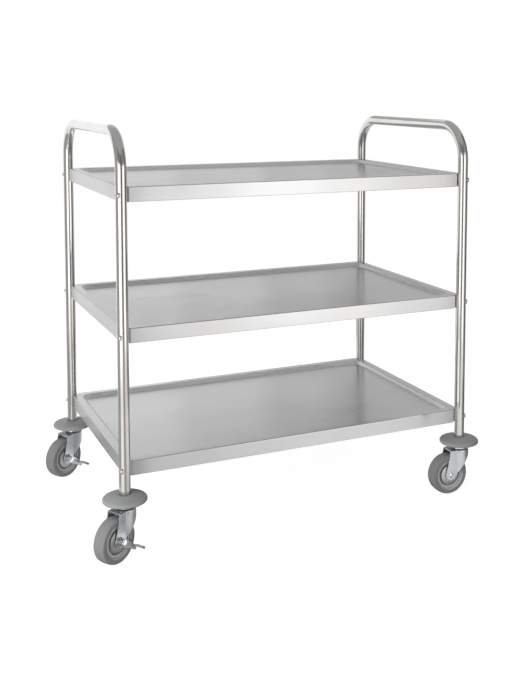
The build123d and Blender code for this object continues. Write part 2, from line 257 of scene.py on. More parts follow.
def brightSteel(name, look):  # polished or satin stainless steel
    material, tree, shader, where = startMaterial(name, 1.0, look.get("attribute"))
    lines = useGroup(tree, brushLines, where, Stretch=look["stretch"])
    marks = useGroup(tree, handMarks, where, Scale=look["markScale"])
    rubbedAndHollow = useGroup(tree, edgeWear, where, Scale=steel["wearScale"])
    tone = mixColour(tree, mapRange(tree, lines["Bands"], *steel["bands"]), look["colour"], look["shade"])
    tone = tint(tree, tone, marks["Smears"], look["smear"], look["dull"])
    # darker in the hollows
    tone = tint(tree, tone, rubbedAndHollow["Hollows"], look["grime"], look["dull"])
    rough = mapRange(tree, lines["Lines"], *steel["lines"], *look["rough"])
    rough = addShare(tree, rough, marks["Smears"], look["smear"] * steel["smearRough"])
    if "pressed" in look:  # the drawn slopes are duller than the flat sheet, and are painted paler as painted light
        drawn = faceMark(tree, "pressed")
        tone = mixColour(tree, drawn, tone, look["pale"])
        rough = addShare(tree, rough, drawn, look["pressed"])
    tree.links.new(tone, shader.inputs["Base Color"])
    tree.links.new(rough, shader.inputs["Roughness"])
    wave = noise(tree, where, look["waveScale"], detail=1.0, rough=0.4)
    bump(tree, shader, addShare(tree, lines["Lines"], wave, look["wave"]), look["bump"], look["depth"])
    if "across" in look:  # brushed sheet mirrors sharply along its lines and softly across them
        shader.inputs["Anisotropic"].default_value = look["brushed"]
        across = addNode(tree, "ShaderNodeCombineXYZ")
        for index, value in enumerate(look["across"]):
            across.inputs[index].default_value = value
        tree.links.new(across.outputs[0], shader.inputs["Tangent"])
    return material


def platedSteel(name, look):  # zinc plate, a little cloudy and blue
    material, tree, shader, where = startMaterial(name, 1.0)
    cloud = useGroup(tree, mouldGrain, where, Grain=look["grain"], Cloud=look["cloud"])
    marks = useGroup(tree, handMarks, where, Scale=look["markScale"])
    rubbedAndHollow = useGroup(tree, edgeWear, where, Scale=plate["wearScale"])
    tone = mixColour(tree, mapRange(tree, cloud["Tone"], *plate["clouds"]), look["colour"], look["shade"])
    tone = tint(tree, tone, marks["Smears"], plate["smear"], look["dull"])
    tone = mixColour(tree, rubbedAndHollow["Wear"], tone, look["edge"])
    # darker in the hollows
    tone = tint(tree, tone, rubbedAndHollow["Hollows"], plate["grime"], look["dull"])
    tree.links.new(tone, shader.inputs["Base Color"])
    rough = mapRange(tree, cloud["Tone"], *plate["roughClouds"], *look["rough"])
    rough = addShare(tree, rough, rubbedAndHollow["Wear"], -plate["wornSmooth"])
    tree.links.new(rough, shader.inputs["Roughness"])
    bump(tree, shader, cloud["Height"], look["bump"], look["depth"])
    return material


def moulded(name, look):  # plastic and rubber
    material, tree, shader, where = startMaterial(name, 0.0)
    shader.inputs["IOR"].default_value = look["ior"]
    grain = useGroup(tree, mouldGrain, where, Grain=look["grain"], Cloud=look["cloud"])
    marks = useGroup(tree, handMarks, where, Scale=look["markScale"])
    rubbedAndHollow = useGroup(tree, edgeWear, where, Scale=mould["wearScale"])
    tone = mixColour(tree, mapRange(tree, grain["Tone"], *mould["clouds"]), look["colour"], look["shade"])
    tone = tint(tree, tone, marks["Smears"], look["dusty"], look["dust"])
    tone = tint(tree, tone, rubbedAndHollow["Wear"], look["wear"], look["edge"])
    # darker in the hollows
    tone = tint(tree, tone, rubbedAndHollow["Hollows"], mould["grime"], look["hollowTone"])
    for mark, colour in look.get("bands", {}).items():  # parts of a moulding with a tone of their own, and on the tyre's tread painted shade
        tone = mixColour(tree, faceMark(tree, mark), tone, colour)
    tree.links.new(tone, shader.inputs["Base Color"])
    rough = mapRange(tree, marks["Smears"], 0.0, 1.0, *look["rough"])
    rough = addShare(tree, rough, grain["Height"], mould["grainRough"])
    tree.links.new(rough, shader.inputs["Roughness"])
    bump(tree, shader, grain["Height"], look["bump"], look["depth"])
    return material


finishes = {
    "tube_steel": brightSteel("polishedTube", {
        "colour": (0.70, 0.688, 0.67), "shade": (0.64, 0.628, 0.61), "dull": (0.46, 0.45, 0.44),
        "stretch": (1.5, 900.0, 900.0), "markScale": 7.0, "smear": 0.25, "grime": 0.2,
        "rough": (0.08, 0.15), "wave": 6.0, "waveScale": 3.0, "bump": 0.006, "depth": 0.05,
        "attribute": "tubeRun"}),
    "shelf_steel": brightSteel("satinSheet", {
        "colour": (0.592, 0.594, 0.604), "shade": (0.572, 0.574, 0.584), "dull": (0.52, 0.523, 0.533),
        "stretch": (3.0, 1100.0, 1100.0), "markScale": 3.2, "smear": 0.14, "grime": 0.1,
        "rough": (0.22, 0.27), "wave": 3.0, "waveScale": 5.0, "bump": 0.03, "depth": 0.05,
        # the pale colour of the pressed slopes is painted light
        "brushed": 0.85, "across": (0.0, 1.0, 0.25), "pressed": 0.3, "pale": (0.9, 0.9, 0.91)}),
    "bolt_steel": brightSteel("boltSteel", {
        "colour": (0.68, 0.67, 0.655), "shade": (0.6, 0.59, 0.58), "dull": (0.36, 0.35, 0.34),
        "stretch": (300.0, 300.0, 300.0), "markScale": 60.0, "smear": 0.4, "grime": 0.5,
        "rough": (0.16, 0.28), "wave": 0.0, "waveScale": 5.0, "bump": 0.06, "depth": 0.05}),
    "stem_steel": brightSteel("turnedSteel", {
        "colour": (0.5, 0.5, 0.5), "shade": (0.42, 0.42, 0.42), "dull": (0.3, 0.3, 0.3),
        "stretch": (150.0, 150.0, 2500.0), "markScale": 40.0, "smear": 0.4, "grime": 0.5,
        "rough": (0.25, 0.4), "wave": 0.0, "waveScale": 5.0, "bump": 0.15, "depth": 0.05}),
    "ball_steel": brightSteel("ballSteel", {
        "colour": (0.6, 0.6, 0.61), "shade": (0.55, 0.55, 0.56), "dull": (0.3, 0.28, 0.24),
        "stretch": (500.0, 500.0, 500.0), "markScale": 120.0, "smear": 0.6, "grime": 0.5,
        "rough": (0.08, 0.16), "wave": 0.0, "waveScale": 5.0, "bump": 0.03, "depth": 0.02}),
    "bush_steel": brightSteel("bushSteel", {
        "colour": (0.5, 0.49, 0.47), "shade": (0.44, 0.43, 0.41), "dull": (0.28, 0.26, 0.22),
        "stretch": (900.0, 900.0, 900.0), "markScale": 80.0, "smear": 0.5, "grime": 0.5,
        "rough": (0.2, 0.34), "wave": 0.0, "waveScale": 5.0, "bump": 0.08, "depth": 0.03}),
    "zinc_steel": platedSteel("brightZinc", {
        "colour": (0.54, 0.57, 0.60), "shade": (0.61, 0.625, 0.635),
        "dull": (0.35, 0.37, 0.39), "edge": (0.78, 0.80, 0.82),
        "grain": 700.0, "cloud": 45.0, "markScale": 30.0, "rough": (0.24, 0.36),
        "bump": 0.06, "depth": 0.05}),
    "axle_zinc": platedSteel("axleZinc", {  # bolts, nuts and races keep the brightest plate
        "colour": (0.78, 0.81, 0.84), "shade": (0.66, 0.69, 0.72),
        "dull": (0.4, 0.42, 0.44), "edge": (0.92, 0.94, 0.96),
        "grain": 500.0, "cloud": 60.0, "markScale": 40.0, "rough": (0.08, 0.16),
        "bump": 0.04, "depth": 0.04}),
    "guard_steel": platedSteel("guardZinc", {
        "colour": (0.50, 0.522, 0.515), "shade": (0.555, 0.572, 0.565),
        "dull": (0.38, 0.395, 0.39), "edge": (0.74, 0.76, 0.75),
        "grain": 900.0, "cloud": 34.0, "markScale": 36.0, "rough": (0.28, 0.42),
        "bump": 0.06, "depth": 0.05}),
    "bumper_plastic": moulded("bumperPlastic", {
        "colour": (0.285, 0.29, 0.297), "shade": (0.255, 0.26, 0.267), "dust": (0.36, 0.365, 0.37),
        "edge": (0.42, 0.425, 0.43), "hollowTone": (0.12, 0.12, 0.12), "dusty": 0.35, "wear": 0.5, "ior": 1.48,
        "grain": 1100.0, "cloud": 16.0, "markScale": 18.0, "rough": (0.42, 0.58),
        "bump": 0.18, "depth": 0.12}),
    "plug_plastic": moulded("plugPlastic", {
        "colour": (0.03, 0.03, 0.032), "shade": (0.022, 0.022, 0.024), "dust": (0.08, 0.08, 0.08),
        "edge": (0.09, 0.09, 0.09), "hollowTone": (0.01, 0.01, 0.01), "dusty": 0.3, "wear": 0.5, "ior": 1.48,
        "grain": 900.0, "cloud": 30.0, "markScale": 40.0, "rough": (0.45, 0.6),
        "bump": 0.2, "depth": 0.1}),
    "wheel_plastic": moulded("wheelPlastic", {
        "colour": (0.55, 0.552, 0.54), "shade": (0.50, 0.502, 0.49), "dust": (0.60, 0.60, 0.59),
        "edge": (0.66, 0.66, 0.65), "hollowTone": (0.24, 0.24, 0.235), "dusty": 0.35, "wear": 0.4, "ior": 1.5,
        "grain": 800.0, "cloud": 26.0, "markScale": 30.0, "rough": (0.34, 0.5),
        "bump": 0.12, "depth": 0.08}),
    "tyre_rubber": moulded("greyRubber", {
        "colour": (0.243, 0.248, 0.253), "shade": (0.212, 0.216, 0.22), "dust": (0.295, 0.30, 0.305),
        "edge": (0.29, 0.293, 0.297), "hollowTone": (0.09, 0.09, 0.09), "dusty": 0.45, "wear": 0.35, "ior": 1.46,
        "grain": 1300.0, "cloud": 24.0, "markScale": 26.0, "rough": (0.58, 0.74),
        "bump": 0.22, "depth": 0.12,
        # the tread's darker tone is painted shade
        "bands": {"bead": (0.46, 0.455, 0.44), "tread": (0.215, 0.219, 0.222)}}),
    "grip_plastic": moulded("gripPlastic", {
        "colour": (0.30, 0.305, 0.31), "shade": (0.27, 0.275, 0.28), "dust": (0.36, 0.36, 0.36),
        "edge": (0.40, 0.40, 0.40), "hollowTone": (0.06, 0.06, 0.06), "dusty": 0.35, "wear": 0.6, "ior": 1.48,
        "grain": 1000.0, "cloud": 40.0, "markScale": 50.0, "rough": (0.42, 0.58),
        "bump": 0.25, "depth": 0.12}),
}
for node in frame["nodes"].values():  # every CAD node that stays gets its finish
    for holder in node.material_slots:
        label = holder.material.name.split(".")[0]
        holder.material = finishes[label]
print("finishes:", len(finishes))


# mesh helpers


def finishPiece(bm, name, node, slot, finish=None):
    mesh = bpy.data.meshes.new(name)
    bm.normal_update()
    bm.to_mesh(mesh)
    bm.free()
    mesh.polygons.foreach_set("use_smooth", [True] * len(mesh.polygons))
    mesh.materials.append(finishes[finish or slot])
    piece = bpy.data.objects.new(name, mesh)
    bpy.context.scene.collection.objects.link(piece)
    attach(piece, bodyOf[node])
    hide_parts(node)
    return piece


def addBevel(piece, width, segments, angle=None):  # edges sharper than the angle, or else the weighted ones
    bevel = piece.modifiers.new("roundedEdges", "BEVEL")
    bevel.width = width * mm
    bevel.segments = segments
    bevel.profile = 0.5
    bevel.limit_method = "ANGLE" if angle else "WEIGHT"
    if angle:
        bevel.angle_limit = math.radians(angle)
    bevel.use_clamp_overlap = True


def addSolid(piece, gauge):
    solid = piece.modifiers.new("sheetGauge", "SOLIDIFY")
    solid.thickness = gauge * mm
    solid.offset = -1.0
    solid.use_even_offset = True


def addEvenNormals(piece):
    even = piece.modifiers.new("evenNormals", "WEIGHTED_NORMAL")
    even.keep_sharp = True
    even.weight = 80


def addRound(piece, levels):
    rounded = piece.modifiers.new("roundedForm", "SUBSURF")
    rounded.levels = rounded.render_levels = levels


def vertsOf(items):
    return [item for item in items if isinstance(item, bmesh.types.BMVert)]


def edgesOf(items):
    return [item for item in items if isinstance(item, bmesh.types.BMEdge)]


def openEdges(items):
    return [edge for edge in edgesOf(items) if len(edge.link_faces) == 1]


def legPlace(corner):
    sideX, sideY = corners[corner]["side"]
    return Matrix.Translation((sideX * cart["legX"] * mm, sideY * cart["legY"] * mm, 0.0))


def casterPlace(corner):  # X along the trail, Z up the stem
    turn = math.radians(corners[corner]["turn"])
    along = Vector((-math.sin(turn), -math.cos(turn), 0.0))
    across = upward.cross(along)
    spinFrame = Matrix((along, across, upward)).transposed().to_4x4()
    return legPlace(corner) @ spinFrame


def axlePlace(corner):  # the middle of a wheel, with Y along its axle
    return casterPlace(corner) @ Matrix.Translation((cart["trail"] * mm, 0.0, cart["axle"] * mm))


def turnProfile(bm, profile, axis, steps, closed=True):
    # profile holds (distance from the axis, distance along it) in millimetres
    across = Vector((1.0, 0.0, 0.0))
    points = [bm.verts.new(across * (radius * mm) + axis * (along * mm)) for radius, along in profile]
    pairs = list(zip(points, points[1:]))
    if closed:
        pairs.append((points[-1], points[0]))
    edges = [bm.edges.new(pair) for pair in pairs]
    bmesh.ops.spin(
        bm, geom=points + edges, cent=(0, 0, 0), axis=axis, angle=2 * math.pi, steps=steps, use_merge=True)
    bmesh.ops.remove_doubles(bm, verts=bm.verts[:], dist=weld)
    bmesh.ops.recalc_face_normals(bm, faces=bm.faces[:])


def moveTo(bm, place):
    bmesh.ops.transform(bm, matrix=place, verts=bm.verts[:])


# end frames: one bent tube for two legs and the handle

endFrame = {
    "radius": 12.5, "wall": 1.2, "bend": 85.0, "foot": 137.0, "footRing": 2.0, "handle": 927.5,
    "sides": 48, "bendSteps": 40,
    "ripple": 0.10, "ripples": 13.0, "rippleFrom": 0.5,  # faint puckers inside each bend
}


def bendTube(name, node, side):
    bm = bmesh.new()
    radius, bend, bendSteps = endFrame["radius"], endFrame["bend"], endFrame["bendSteps"]
    runs = bm.verts.layers.float_vector.new("tubeRun")  # length along the tube and place in its section
    ring = bmesh.ops.create_circle(
        bm, segments=endFrame["sides"], radius=radius * mm, cap_ends=False)["verts"]
    for vert in ring:
        vert[runs] = (0.0, vert.co.x, vert.co.y)
    start = Vector((side * cart["legX"], -cart["legY"], endFrame["foot"])) * mm
    bmesh.ops.translate(bm, vec=start, verts=ring)
    pivotZ = endFrame["handle"] - bend
    legRun, handleRun = pivotZ - endFrame["foot"], 2 * (cart["legY"] - bend)
    bendRun = bend * math.pi / 2

    def addRun(vert, length):
        along, *section = vert[runs]
        vert[runs] = (along + length * mm, *section)

    def marchAlong(edges, direction, length):
        made = bmesh.ops.extrude_edge_only(bm, edges=edges)["geom"]
        verts = vertsOf(made)
        bmesh.ops.translate(bm, vec=direction * (length * mm), verts=verts)
        for vert in verts:
            addRun(vert, length)
        return openEdges(made)

    def pucker(vert, centre, share):  # share of the bend that is behind this ring
        outward = Vector((0.0, vert.co.y - centre.y, vert.co.z - centre.z))
        inward = (bend * mm - math.hypot(outward.y, outward.z)) / (radius * mm)
        if inward > endFrame["rippleFrom"]:
            swell = math.sin(share * math.pi) * math.sin(share * math.pi * 2 * endFrame["ripples"])
            swell *= (inward - endFrame["rippleFrom"]) / (1.0 - endFrame["rippleFrom"])
            vert.co -= outward.normalized() * (endFrame["ripple"] * mm * swell)

    def turnBend(edges, centreY):
        centre = Vector((side * cart["legX"], centreY, pivotZ)) * mm
        step = math.radians(-90.0) / bendSteps
        for index in range(bendSteps):
            verts = list(dict.fromkeys(vert for edge in edges for vert in edge.verts))
            made = bmesh.ops.spin(
                bm, geom=verts + edges, cent=centre, axis=(1, 0, 0), angle=step, steps=1,
                use_duplicate=False)
            for vert in vertsOf(made["geom_last"]):
                addRun(vert, bendRun / bendSteps)
                if 0 < index < bendSteps - 1:
                    pucker(vert, centre, (index + 1) / bendSteps)
            edges = edgesOf(made["geom_last"])
        return edges

    edges = marchAlong(bm.edges[:], upward, endFrame["footRing"])
    edges = marchAlong(edges, upward, legRun - endFrame["footRing"])
    edges = turnBend(edges, -cart["legY"] + bend)
    edges = marchAlong(edges, crosswise, handleRun)
    edges = turnBend(edges, cart["legY"] - bend)
    edges = marchAlong(edges, -upward, legRun - endFrame["footRing"])
    marchAlong(edges, -upward, endFrame["footRing"])
    bmesh.ops.recalc_face_normals(bm, faces=bm.faces[:])
    middle = Vector((side * cart["legX"] * mm, 0.0, endFrame["handle"] * mm))
    probe = min(bm.faces, key=lambda face: (face.calc_center_median() - middle).length)
    if probe.normal.dot(probe.calc_center_median() - middle) < 0:
        bmesh.ops.reverse_faces(bm, faces=bm.faces[:])
    piece = finishPiece(bm, name, node, "tube_steel")
    addSolid(piece, endFrame["wall"])
    addEvenNormals(piece)


bendTube("bent_tube_left", "left_end_frame", -1)
bendTube("bent_tube_right", "right_end_frame", 1)
print("end frames bent")


# shelves: pressed sheet with a ledge, a recessed floor and an apron

shelf = {
    "long": 860.0, "wide": 540.0, "setback": 17.82, "ledge": 20.0, "slope": 7.0, "deep": 9.0,
    "corner": 25.0, "apron": 33.0, "lip": 8.0, "gauge": 1.0, "cornerSteps": 10, "foldSteps": 4,
    "folds": {"rim": 2.0, "press": 2.6, "floor": 3.4, "bend": 3.0, "foot": 1.4},
    "rims": {"top_shelf": 810.0, "middle_shelf": 504.0, "bottom_shelf": 211.0},
}


def cornerLoop(bm, inset, corner, steps, height):  # a flat panel with its corners cut or rounded
    made = bmesh.ops.create_grid(bm, x_segments=1, y_segments=1, size=0.5)["verts"]
    size = Vector((shelf["long"] - 2 * inset, shelf["wide"] - 2 * inset, 1.0)) * mm
    bmesh.ops.scale(bm, vec=size, verts=made)
    bmesh.ops.translate(bm, vec=(0, 0, height * mm), verts=made)
    shaped = bmesh.ops.bevel(
        bm, geom=made, offset=corner * mm, offset_type="OFFSET", affect="VERTICES", segments=steps,
        profile=0.5, material=-1)["verts"]
    return max({face for vert in shaped for face in vert.link_faces}, key=lambda face: face.calc_area())


def pressShelf(name, node):
    rim = shelf["rims"]["top_shelf"]  # all three are pressed at this height, then lowered
    bm = bmesh.new()
    weight = bm.edges.layers.float.new("bevel_weight_edge")
    pressed = bm.faces.layers.float.new("pressed")
    outer = cornerLoop(bm, inset=0.0, corner=shelf["setback"], steps=1, height=rim)
    outerEdges = list(outer.edges)
    inner = cornerLoop(bm, shelf["ledge"], shelf["corner"], shelf["cornerSteps"], rim)
    innerEdges = list(inner.edges)
    floorInset, floorCorner = shelf["ledge"] + shelf["slope"], shelf["corner"] - shelf["slope"]
    floorFace = cornerLoop(bm, floorInset, floorCorner, shelf["cornerSteps"], rim - shelf["deep"])
    floorEdges = list(floorFace.edges)
    bmesh.ops.delete(bm, geom=[outer, inner], context="FACES_ONLY")
    slopes = bmesh.ops.bridge_loops(bm, edges=innerEdges + floorEdges)["faces"]
    bmesh.ops.bridge_loops(bm, edges=outerEdges + innerEdges)
    made = bmesh.ops.extrude_edge_only(bm, edges=outerEdges)["geom"]
    bmesh.ops.translate(bm, vec=(0, 0, -shelf["apron"] * mm), verts=vertsOf(made))
    uprights = [edge for edge in edgesOf(made) if len(edge.link_faces) == 2]
    footEdges = openEdges(made)
    underside = bmesh.ops.contextual_create(bm, geom=footEdges)["faces"]
    lip = shelf["lip"] * mm
    bmesh.ops.inset_region(bm, faces=underside, thickness=lip, use_even_offset=True, use_boundary=True)
    bmesh.ops.delete(bm, geom=underside, context="FACES_ONLY")
    bmesh.ops.recalc_face_normals(bm, faces=bm.faces[:])
    if floorFace.normal.z < 0:
        bmesh.ops.reverse_faces(bm, faces=bm.faces[:])
    for face in bm.faces:
        face[pressed] = float(face in slopes)
    widest = max(shelf["folds"].values())
    folded = {
        "rim": outerEdges, "press": innerEdges, "floor": floorEdges, "bend": uprights, "foot": footEdges,
    }
    for fold, edges in folded.items():
        for edge in edges:
            edge[weight] = shelf["folds"][fold] / widest
    moveTo(bm, Matrix.Translation((0, 0, (shelf["rims"][node] - rim) * mm)))
    piece = finishPiece(bm, name, node, "shelf_steel")
    addBevel(piece, widest, shelf["foldSteps"])
    addSolid(piece, shelf["gauge"])
    addEvenNormals(piece)


for node in shelf["rims"]:
    pressShelf("pressed_" + node, node)
print("shelves pressed")


# shelf bolts: domed heads on the legs' diagonals

shelfBolt = {
    "seat": 12.6, "head": 6.0, "rise": 3.6, "brim": 0.5, "shank": 3.0, "tip": -20.65, "below": 16.5,
    "steps": 28,
    "dome": [(0.82, 0.62), (0.45, 0.93), (0.0, 1.0)],  # shares of the head's radius and rise
    "edge": (0.35, 2, 35.0),  # width, segments and angle of the eased edges
}


def driveBolts():
    head, seat, shank, tip = (shelfBolt[key] for key in ("head", "seat", "shank", "tip"))
    profile = [(0.0, tip), (shank, tip), (shank, seat), (head, seat), (head, seat + shelfBolt["brim"])]
    profile += [(head * out, seat + shelfBolt["rise"] * up) for out, up in shelfBolt["dome"]]
    bm = bmesh.new()
    for corner, facts in corners.items():
        outward = Vector((*facts["side"], 0.0)).normalized()
        turned = upward.rotation_difference(outward).to_matrix().to_4x4()
        for rim in shelf["rims"].values():
            single = bmesh.new()
            turnProfile(single, profile, upward, shelfBolt["steps"], closed=False)
            raised = Matrix.Translation((0, 0, (rim - shelfBolt["below"]) * mm))
            moveTo(single, legPlace(corner) @ raised @ turned)
            mesh = bpy.data.meshes.new("boltPattern")
            single.to_mesh(mesh)
            single.free()
            bm.from_mesh(mesh)
            bpy.data.meshes.remove(mesh)
    piece = finishPiece(bm, "domed_bolts", "shelf_bolts", "bolt_steel")
    addBevel(piece, *shelfBolt["edge"])
    addEvenNormals(piece)


driveBolts()
print("shelf bolts driven")


# bumpers: moulded discs under the legs

bumper = {
    "steps": 56, "rounding": 1,
    "profile": [  # radius and height
        (12.56, 137.0), (12.56, 140.2), (13.2, 140.95), (20.0, 140.66), (28.0, 139.6), (34.0, 138.3),
        (40.0, 136.6), (41.2, 135.8), (42.4, 135.4), (43.7, 135.4), (45.5, 134.75), (47.6, 133.1),
        (48.7, 131.2), (49.0, 129.2), (48.7, 127.2), (47.6, 125.7), (45.6, 125.0), (30.0, 125.0),
        (6.1, 125.0), (6.06, 125.6), (6.06, 136.4), (6.06, 137.0)],
}
for corner in corners:
    bm = bmesh.new()
    turnProfile(bm, bumper["profile"], upward, bumper["steps"])
    moveTo(bm, legPlace(corner))
    piece = finishPiece(bm, "bumper_disc_" + corner, "bumper_" + corner, "bumper_plastic")
    addRound(piece, bumper["rounding"])
print("bumpers turned")


# wheels: tyre, core and thread guards, turned about the axle

tyre = {
    "steps": 72, "rounding": 1,
    "bead": 37.4, "tread": 47.2,  # radii where the pale bead ends and the tread starts
    "half": [  # radius and distance across, from the tread's middle to the bead
        (50.0, 0.0), (49.92, 4.0), (49.6, 8.0), (49.15, 11.4), (48.75, 13.0), (48.0, 14.2), (46.8, 14.9),
        (45.2, 15.0), (42.4, 15.0), (39.8, 14.95), (38.2, 14.7), (36.6, 13.3), (35.5, 12.2), (35.1, 11.6)],
}
wheelCore = {
    "steps": 64, "edge": (0.7, 3, 28.0),  # width, segments and angle of the eased edges
    "half": [
        (34.98, 0.0), (34.98, 11.2), (34.2, 12.0), (30.2, 12.0), (29.2, 11.0), (28.6, 6.0), (26.6, 4.0),
        (14.4, 4.0), (12.4, 5.6), (12.0, 7.0), (12.0, 15.0), (6.06, 15.0)],
}
threadGuard = {
    "steps": 64, "edge": (0.3, 2, 35.0),
    "section": [  # a shallow dish that closes the hub
        (12.06, 14.0), (17.0, 13.9), (21.6, 13.35), (23.4, 13.0), (24.0, 12.75), (24.0, 12.45),
        (23.4, 12.4), (21.4, 12.45), (17.0, 12.5), (12.06, 12.5)],
}


def mirrored(half):  # both sides of a section, with its middle point once
    return half + [(radius, -across) for radius, across in reversed(half[1:])]


for corner in corners:
    bm = bmesh.new()
    turnProfile(bm, mirrored(tyre["half"]), crosswise, tyre["steps"])
    bead, tread = bm.faces.layers.float.new("bead"), bm.faces.layers.float.new("tread")
    for face in bm.faces:
        middle = face.calc_center_median()
        radius = math.hypot(middle.x, middle.z) / mm
        face[bead], face[tread] = float(radius < tyre["bead"]), float(radius > tyre["tread"])
    moveTo(bm, axlePlace(corner))
    piece = finishPiece(bm, "tyre_tread_" + corner, "tyre_" + corner, "tyre_rubber")
    addRound(piece, tyre["rounding"])

    bm = bmesh.new()
    turnProfile(bm, mirrored(wheelCore["half"]), crosswise, wheelCore["steps"])
    moveTo(bm, axlePlace(corner))
    piece = finishPiece(bm, "wheel_centre_" + corner, "wheel_core_" + corner, "wheel_plastic")
    addBevel(piece, *wheelCore["edge"])
    addEvenNormals(piece)

    bm = bmesh.new()
    for side in (1, -1):
        section = [(radius, side * across) for radius, across in threadGuard["section"]]
        turnProfile(bm, section, crosswise, threadGuard["steps"])
    moveTo(bm, axlePlace(corner))
    piece = finishPiece(bm, "hub_guards_" + corner, "thread_guards_" + corner, "guard_steel")
    addBevel(piece, *threadGuard["edge"])
    addEvenNormals(piece)
print("wheels turned")


# caster steel and brake grips: the CAD shape with its edges eased

easing = {
    "segments": 2, "flat": 0.6, "angle": 32.0,  # the last two in degrees
    "pieces": {  # width of the eased edge, slot and finish
        "fork": (0.45, "zinc_steel", "zinc_steel"),
        "axle_bolt": (0.4, "zinc_steel", "axle_zinc"),
        "axle_nut": (0.5, "zinc_steel", "axle_zinc"),
        "upper_race": (0.5, "zinc_steel", "axle_zinc"),
        "brake_lever": (0.4, "zinc_steel", "zinc_steel"),
        "brake_grip": (0.5, "grip_plastic", "grip_plastic"),
    },
}


def easeNode(node, width, slot, finish):
    bm = bmesh.new()
    bm.from_mesh(frame["nodes"][node].data)
    bmesh.ops.remove_doubles(bm, verts=bm.verts[:], dist=weld)
    flat = math.radians(easing["flat"])  # faces that bend less than this become one
    bmesh.ops.dissolve_limit(
        bm, angle_limit=flat, verts=bm.verts[:], edges=bm.edges[:], use_dissolve_boundaries=False)
    piece = finishPiece(bm, "eased_" + node, node, slot, finish)
    addBevel(piece, width, easing["segments"], easing["angle"])
    addEvenNormals(piece)


for corner, facts in corners.items():
    for kind, (width, slot, finish) in easing["pieces"].items():
        if facts["brake"] or not kind.startswith("brake"):
            easeNode(kind + "_" + corner, width, slot, finish)
print("casters dressed")


# studio: white floor and surround, with soft boxes and grey flags for the steel to mirror

